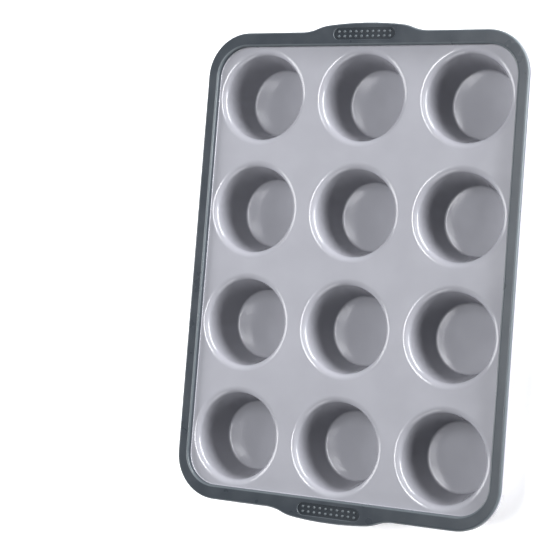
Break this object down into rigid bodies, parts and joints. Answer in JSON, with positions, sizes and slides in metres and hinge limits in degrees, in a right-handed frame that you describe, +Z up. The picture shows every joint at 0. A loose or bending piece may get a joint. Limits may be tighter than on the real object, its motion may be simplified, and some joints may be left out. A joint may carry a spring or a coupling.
{
  "type": "muffin pan",
  "caption": "Silicone muffin pan with tapered round cups in a flat deck, a steel-stiffened raised rim in a second colour and a dotted grip at each short end.",
  "frame": {"origin": "middle of the footprint on the surface that the cups stand on", "axes": "+X across the three columns of cups, +Y along the four rows towards one handle, +Z up out of the cups"},
  "size_m": [0.2496, 0.3496, 0.0398],
  "materials": {
    "tray_silicone": "glossy light grey silicone",
    "rim_silicone": "satin dark slate grey silicone",
    "ring_steel": "plain stainless wire, sealed in the border"
  },
  "bodies": {
    "root": {"tray_deck": "tray_silicone", "tray_border": "tray_silicone", "cup_row1_column1": "tray_silicone", "cup_row1_column2": "tray_silicone", "cup_row1_column3": "tray_silicone", "cup_row2_column1": "tray_silicone", "cup_row2_column2": "tray_silicone", "cup_row2_column3": "tray_silicone", "cup_row3_column1": "tray_silicone", "cup_row3_column2": "tray_silicone", "cup_row3_column3": "tray_silicone", "cup_row4_column1": "tray_silicone", "cup_row4_column2": "tray_silicone", "cup_row4_column3": "tray_silicone", "rim": "rim_silicone", "steel_ring": "ring_steel"}
  },
  "joints": []
}
